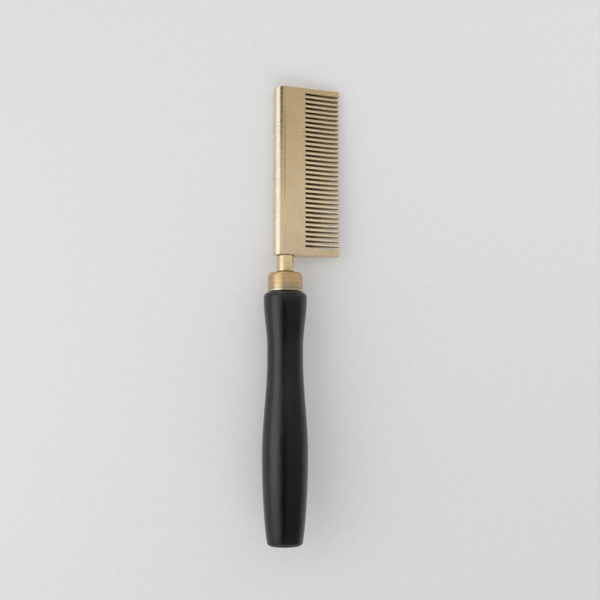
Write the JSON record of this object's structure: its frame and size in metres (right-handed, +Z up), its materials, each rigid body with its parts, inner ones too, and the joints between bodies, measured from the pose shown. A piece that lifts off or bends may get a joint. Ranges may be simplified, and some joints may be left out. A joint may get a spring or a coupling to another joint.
{
  "type": "hot comb",
  "caption": "Stove-heated straightening comb: a toothed brass head on a brass tang, with a brass ferrule and a turned black lacquered wooden handle.",
  "frame": {"origin": "on the surface that the comb lies on, below the middle of the whole tool", "axes": "+Y from the butt of the handle to the far end of the head, +X the way the teeth point, +Z up, as the comb lies at rest on the flare of its handle and the far end of its head"},
  "size_m": [0.0412, 0.2404, 0.0288],
  "materials": {
    "head_brass": "satin, finely brushed",
    "tang_brass": "turned, satin",
    "ferrule_brass": "drawn, semi-gloss",
    "black_lacquer": "gloss black lacquer on turned wood",
    "cement": "matte"
  },
  "bodies": {
    "root": {"comb_head": "head_brass", "tang": "tang_brass", "ferrule": "ferrule_brass", "handle": "black_lacquer", "tang_cement": "cement"}
  },
  "joints": []
}
